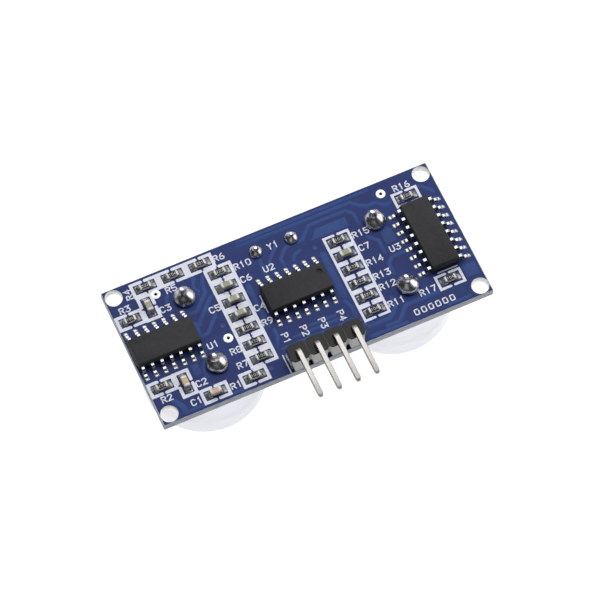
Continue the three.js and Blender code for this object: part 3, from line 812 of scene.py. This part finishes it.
def make_circuits():
    for number, node in enumerate(CIRCUITS):
        place, height = standing(node)
        half_length = max(Box(node).half.xy)
        per_side = int(2 * half_length / SOIC["pitch"] + 0.25)
        body = Form().add(circuit_body(half_length, height, *DIMPLES[node]), 0, place)
        make(f"{node}_body", body, [EPOXY], [node], smooth=30)
        leads, solder = Form(), Form()
        for side, turn in enumerate(both_ways(place)):
            for i in range(per_side):
                x = (i - (per_side - 1) / 2) * SOIC["pitch"]
                leads.add(gull_wing(height), 0, turn @ Matrix.Translation((x, 0, 0)))
                pad = loft(stacked(*PAD, ((0, 0), (0.02, PAD_HEIGHT))))
                foot = turn @ Matrix.Translation((x, PAD_MIDDLE, 0))
                solder.add(pad, 0, foot)
                solder.add(foot_solder(number * 40 + side * 20 + i), 0, foot)
        make(f"{node}_leads", leads, [LEAD_TIN])
        make(f"{node}_solder", solder, [PAD_TIN], smooth=70)


# ------------ resistors and capacitors

CHIP = {"half_length": 0.8, "half_width": 0.4, "base": PAD_HEIGHT + 0.004, "terminal": 0.3}


def terminal(height, half_width, length, edge):
    """One end cap of a chip part, with its inner edge square and its outer edges rounded."""
    outer, low = CHIP["half_length"], CHIP["base"]
    middle, half = (low + height) / 2, (height - low) / 2
    rings = []
    for back, inset in ((length, 0.0), (edge, 0.0), (edge * 0.3, edge * 0.3), (0.0, edge)):
        outline = rounded_rectangle(half_width - inset, half - inset, 0.05, 2, 0, middle)
        rings.append([(outer - back, y, z) for y, z in outline])
    return loft(rings)


def end_fillet(top, seed):
    """Solder on a pad that climbs a terminal's end."""
    pad_middle = 0.9

    def height(x, y):
        out = x + pad_middle - CHIP["half_length"]
        climb = 0.07 if out < 0 else max(0.0, 1 - out / 0.42) ** 2 * (top * 0.7)
        sides = max(0.0, 1 - (y / 0.5) ** 6)
        return 0.035 + climb * sides + wobble(x, y, 0.4, 0.01, seed)
    return mound(0.34, 0.42, height, rings=6, corner=3.5, x=pad_middle)


def add_pads_and_fillets(form, place, top, seed):
    for side, turn in enumerate(both_ways(place)):
        outline = rounded_rectangle(0.45, 0.5, 0.18, x=0.94)
        form.add(loft([at_height(outline, 0), at_height(grown(outline, -0.02), PAD_HEIGHT)]), 0, turn)
        form.add(end_fillet(top, seed + 0.5 * side), 0, turn)


RESISTOR_CODES = ("103", "472", "101", "222", "104", "331")


def make_resistor(node, number):
    place, height = standing(node)
    body, half_width, low = Form(), CHIP["half_width"], CHIP["base"]
    core = domed_block(CHIP["half_length"] - 0.03, half_width - 0.01, low + 0.01, height - 0.045, 0.03, 0.02)
    body.add(core, 0, place)
    body.add(domed_block(0.53, half_width - 0.03, height - 0.05, height - 0.012, 0.05, 0.015), 1, place)
    for end in both_ways(place):
        body.add(terminal(height, half_width, CHIP["terminal"], 0.06), 2, end)
    for path in letter_strokes(RESISTOR_CODES[number % len(RESISTOR_CODES)], 0, 0, scale=0.42):
        body.add(ribbon(path, 0.06, height - 0.014, height - 0.006, 0.005, 2), 3, place)
    make(f"{node}_chip", body, [ALUMINA, GLAZE, TERMINAL, CODE_INK], [node])


CERAMIC_OF = {"capacitor_03": "grey", "capacitor_02": "tan", "capacitor_01": "salmon"}


def make_capacitor(node):
    place, height = standing(node)
    body, half_width = Form(), CHIP["half_width"]
    core = domed_block(0.76, half_width - 0.012, CHIP["base"] + 0.012, height - 0.012, 0.06, 0.05, 3)
    body.add(core, 0, place)
    for end in both_ways(place):
        body.add(terminal(height, half_width, 0.36, 0.1), 1, end)
    ceramic = CERAMICS[CERAMIC_OF.get(node, "green_tan")]
    make(f"{node}_chip", body, [ceramic, TERMINAL], [node])


def make_chips():
    solder = Form()
    for number, node in enumerate(CHIP_NODES):
        if node.startswith("resistor"):
            make_resistor(node, number)
        else:
            make_capacitor(node)
        add_pads_and_fillets(solder, *standing(node), number)
    make("chip_solder", solder, [PAD_TIN], smooth=70)


# ------------ pin header

def make_header():
    """The insulator is a row of cells, each with notched corners and a square hole for its pin."""
    block = Box("header_insulator")
    half_cell, notch, hole = block.half.x / len(HEADER_PINS), 0.36, 0.35
    form = Form()
    for node in HEADER_PINS:
        x, y = Box(node).middle.x, block.middle.y
        outline = rounded_rectangle(half_cell - 0.002, block.half.y, notch, 1, x, y)
        opening = rounded_rectangle(hole, hole, 0.04, 2, x, y)
        form.add(plate(outline, [opening], block.low.z, block.high.z, 0.05))
    form.kinds = [int(len({form.points[i][2] for i in face}) > 1) for face in form.faces]
    make("header_insulator_moulding", form, [HEADER_PLASTIC, HEADER_SIDE],
         ["header_insulator"], smooth=25)
    for node in HEADER_PINS:
        make(f"{node}_bent", Form().add(header_pin(node)), [PIN_TIN], [node], smooth=25)


def header_pin(node):
    """A square pin up through the board, round its bend and out to a pyramid tip."""
    pin = Box(node)
    half, bend, tip, chamfer = pin.half.x, 0.66, 0.32, 0.05
    low, high = pin.low, pin.high - Vector((half, half, half))
    path = rounded_path([(high.y, low.z), (high.y, high.z), (low.y, high.z)], bend, 10)
    path = [path[0], path[0] + Vector((0, tip * 0.6)), *path[1:-1], path[-1] + Vector((tip, 0)), path[-1]]
    sizes = [half * 0.6, *[half] * (len(path) - 2), half * 0.6]
    return swept(path, [rounded_rectangle(size, size, chamfer, 1, pin.middle.x) for size in sizes])


# ------------ ultrasonic capsules

def make_capsule(capsule):
    """A drawn can with a shallow groove around it and a lip turned in at its front, and what is inside it."""
    can = Box(f"{capsule}_can")
    centre, radius, front, back = can.middle.xy, can.half.x, can.low.z, can.high.z
    wall, edge, lip, groove, depth = 0.4, 0.9, radius - 1.7, front + 3.0, 0.03
    corner = (radius - edge, front + edge)
    profile = [(radius - wall, back), (radius - 0.1, back), (radius, back - 0.1), (radius, groove + 0.4),
               (radius - depth, groove + 0.3), (radius - depth, groove + 0.1), (radius, groove)]
    profile += arc(corner, edge, 0, -90, 10)
    profile += [(lip + 0.15, front), (lip, front + 0.12), (lip, front + wall - 0.06),
                (lip + 0.1, front + wall)]
    profile += arc(corner, edge - wall, -90, 0, 6)
    profile.append((radius - wall, back))
    make(f"{capsule}_can_drawn", Form().add(turned(profile, 160, centre)), [CAN],
         [f"{capsule}_can"], smooth=35)
    make_screen(capsule, centre)
    make_horn(capsule, centre)
    make_base(capsule, centre)


def make_screen(capsule, centre):
    """Plain-woven wires, cut to the inside of the front lip."""
    screen = Box(f"{capsule}_screen")
    reach, level = screen.half.x - 0.05, screen.middle.z
    pitch, thick, sway = 0.72, 0.1, 0.1
    count, form = int(reach / pitch), Form()
    for across in range(2):
        for i in range(-count, count + 1):
            offset = i * pitch
            half = math.sqrt(reach ** 2 - offset ** 2)
            if half < pitch:
                continue
            steps = max(8, int(half * 2 / pitch * 6))
            rings = []
            for k in range(steps + 1):
                along = -half + 2 * half * k / steps
                sign = 1 if (i + across) % 2 else -1
                wire = circle(offset, level + sway * sign * math.cos(math.pi * along / pitch), thick, 6)
                rings.append([(along, u, v) if across else (u, along, v) for u, v in wire])
            form.add(loft(rings), 0, Matrix.Translation((*centre, 0)))
    make(f"{capsule}_screen_weave", form, [WIRE], [f"{capsule}_screen"], smooth=70)


def make_horn(capsule, centre):
    """The cone, and the piezo disc on its brass plate."""
    horn = Box(f"{capsule}_horn")
    mouth, back, front = horn.half.x, horn.high.z, horn.low.z
    cone = [(0, back), (1.2, back), (1.35, back - 0.1), (mouth - 0.15, front + 0.15), (mouth, front + 0.05),
            (mouth - 0.02, front), (mouth - 0.25, front + 0.05), (1.15, back - 0.4), (1.0, back - 0.5),
            (0, back - 0.5)]
    make(f"{capsule}_horn_cone", Form().add(turned(cone, 72, centre)), [HORN],
         [f"{capsule}_horn"], smooth=35)
    disc = Box(f"{capsule}_piezo_disc")
    low, high, radius = disc.low.z, disc.high.z, disc.half.x
    line, inner = low + 0.3, radius - 0.9
    brass = [(0, low), (radius - 0.04, low), (radius, low + 0.04), (radius, line), (0, line)]
    ceramic = [(0, line), (inner, line), (inner, high - 0.03), (inner - 0.03, high), (0, high)]
    form = Form().add(turned(brass, 64, centre)).add(turned(ceramic, 64, centre), 1)
    make(f"{capsule}_piezo_plate", form, [BRASS, PIEZO], [f"{capsule}_piezo_disc"])


def make_base(capsule, centre):
    """The base, a disc with a narrower foot in front of it, and its two pins."""
    base = Box(f"{capsule}_base")
    low, high, radius, foot = base.low.z, base.high.z, base.half.x, 3.5
    step = high - 2.0
    profile = [(0, low), (foot - 0.1, low), (foot, low + 0.1), (foot, step - 0.1), (foot + 0.1, step),
               (radius - 0.15, step), (radius, step + 0.15), (radius, high - 0.15), (radius - 0.15, high),
               (0, high)]
    make(f"{capsule}_base_moulding", Form().add(turned(profile, 96, centre)), [PHENOLIC],
         [f"{capsule}_base"])
    for i in (1, 2):
        node = f"{capsule}_pin_{i}"
        pin = Box(node)
        low, high, radius, rounding = pin.low.z, pin.high.z, pin.half.x, 0.2
        profile = [(0, low), (radius - 0.05, low), (radius, low + 0.05), (radius, BACK),
                   (radius, high - rounding)]
        profile += arc((radius - rounding, high - rounding), rounding, 0, 90, 4) + [(0, high)]
        points, faces = turned(profile, 24, pin.middle.xy)
        make(f"{node}_wire", Form().add((leaning(points), faces)), [SOLDER], [node])


# ------------ crystal

def make_crystal():
    """The drawn can, the base plate with a glass bead around each lead, and the quartz blank."""
    can = Box("crystal_can")
    front, back, flange, shoulder, edge = can.low.z, can.high.z, 0.25, 0.4, 0.55

    def ring(inset, z):
        outline = stadium(can.half.x - inset, can.half.y - inset)
        return [(can.middle.x + x, can.middle.y + y, z) for x, y in outline]
    insets = [(0.0, back), (0.0, back - flange + 0.05), (0.05, back - flange),
              (shoulder - 0.1, back - flange), (shoulder, back - flange - 0.1)]
    insets += [(shoulder + edge - x, front + edge - y) for x, y in arc((0, 0), edge, 0, 90, 6)]
    drawn = Form().add(loft([ring(*inset) for inset in insets]))
    make("crystal_can_drawn", drawn, [CRYSTAL], ["crystal_can"])
    low, high = Box("crystal_base").low.z, Box("crystal_base").high.z
    top = low + 0.7
    plate_edge = [(0.03, top + 0.4), (0.0, top + 0.36), (0.0, top + 0.03), (0.03, top)]
    form = Form().add(loft([ring(*inset) for inset in plate_edge]))
    lead = [(0, low), (0.215, low), (0.215, high - 0.1), (0.15, high - 0.02), (0, high)]
    bead = [(0, top + 0.3), (0.5, top + 0.3), (0.5, top + 0.41), (0.25, top + 0.43), (0, top + 0.43)]
    for i in (1, 2):
        centre = Box(f"crystal_solder_{i}").middle.xy
        form.add(turned(lead, 20, centre)).add(turned(bead, 24, centre), 1)
    make("crystal_base_plate", form, [CRYSTAL, GLASS_BEAD], ["crystal_base"])
    blank = Box("quartz_blank")
    outline = rounded_rectangle(*blank.half.xy, 0.1, 2, *blank.middle.xy)
    form = Form().add(plate(outline, [], blank.low.z, blank.high.z, 0.03))
    make("quartz_blank_lapped", form, [QUARTZ], ["quartz_blank"])


# ------------ solder joints

# A joint's side view, as shares of its radius and height: a full dome on its pad, then a collar up its lead.
JOINT = [(0, 0), (0.98, 0), (1.0, 0.06), (1.0, 0.14), (0.97, 0.23), (0.91, 0.32), (0.82, 0.4), (0.71, 0.48),
         (0.58, 0.56), (0.46, 0.63), (0.36, 0.7), (0.3, 0.78), (0.26, 0.86), (0.23, 0.94), (0.18, 0.99),
         (0, 1.01)]
# How far a capsule's pin leans for each millimetre that it stands above the board.
PIN_LEAN = (-0.13, 0.11)


def leaning(points):
    """Points above the board's back, moved over with the bent end of a capsule's pin."""
    lean_x, lean_y = PIN_LEAN
    return [(x + lean_x * max(0.0, z - BACK), y + lean_y * max(0.0, z - BACK), z) for x, y, z in points]


def joint(node, seed):
    """A hand-made joint: full at its foot, drawn up its lead, and a little uneven."""
    box = Box(node)
    centre, radius, height = box.middle, box.half.x, 2 * box.half.z
    foot, sign = (box.low.z, 1) if centre.z > BOARD.middle.z else (box.high.z, -1)
    points, faces = turned([(radius * r, height * h) for r, h in JOINT], 48)
    uneven = []
    for x, y, z in points:
        share = min(1.0, z / height)
        stretch = 1 + wobble(x, y, radius * 1.1, 0.16 * (1 - share), seed)
        lift = wobble(x, y, radius * 1.2, 0.12 * height, seed + 3) * min(1, 4 * share) * (1 - share)
        uneven.append((centre.x + x * stretch, centre.y + y * stretch, foot + sign * (z + lift)))
    return uneven, faces


def make_joints():
    nodes = [f"{c}_solder_{i}" for c in (*CAPSULES, "crystal") for i in (1, 2)]
    nodes += [f"header_solder_{i}" for i in range(1, 5)]
    for seed, node in enumerate(nodes):
        points, faces = joint(node, seed * 5.3)
        if node.startswith(CAPSULES):
            points = leaning(points)
        make(f"{node}_joint", Form().add((points, faces)), [SOLDER], [node], smooth=80)


# ------------ stage

# The floor's own light keeps it plain white, with no shadow around the object.
FLOOR_GREY, FLOOR_GLOW = 0.25, 1.0
LIGHTS = [
    # name, place and size in millimetres, brightness. All aim at the board's middle.
    ("key_panel", (80, 180, 410), (360, 360), 3.1),
    ("right_card", (420, -30, 190), (460, 340), 1.6),
    ("front_panel", (-160, -260, 330), (320, 260), 0.3),
    ("back_softbox", (-60, 400, 240), (300, 200), 2.0),
]
WORLD_LIGHT = 0.035


def make_stage():
    bpy.ops.mesh.primitive_grid_add(size=4, location=(0, 0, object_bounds()[0][2]))
    floor = bpy.context.object
    floor.name = "floor"
    pale = bpy.data.materials.new("floor")
    pale.use_nodes = True
    set_inputs(pale.node_tree.nodes["Principled BSDF"], {
        "Base Color": (FLOOR_GREY, FLOOR_GREY, FLOOR_GREY, 1), "Roughness": 0.8, "Specular IOR Level": 0.1,
        "Emission Color": (1, 1, 1, 1), "Emission Strength": FLOOR_GLOW})
    floor.data.materials.append(pale)
    world = bpy.data.worlds.new("world")
    world.use_nodes = True
    set_inputs(world.node_tree.nodes["Background"], {"Color": (0.93, 0.96, 1.0, 1), "Strength": WORLD_LIGHT})
    bpy.context.scene.world = world
    for name, place, size, brightness in LIGHTS:
        data = bpy.data.lights.new(name, "AREA")
        data.shape = "RECTANGLE"
        data.size, data.size_y = (s * MM for s in size)
        data.energy = 4 * data.size * data.size_y * brightness
        lamp = bpy.data.objects.new(name, data)
        turn = (-Vector(place)).to_track_quat("-Z", "Y").to_matrix().to_4x4()
        lamp.matrix_world = Matrix.Translation(Vector(place) * MM) @ turn
        bpy.context.scene.collection.objects.link(lamp)
    bpy.context.scene.view_settings.view_transform = "Standard"


make_board()
make_tracks()
make_plated_rings()
print_back()
print_front()
make_circuits()
make_chips()
make_header()
for one in CAPSULES:
    make_capsule(one)
make_crystal()
make_joints()
make_stage()
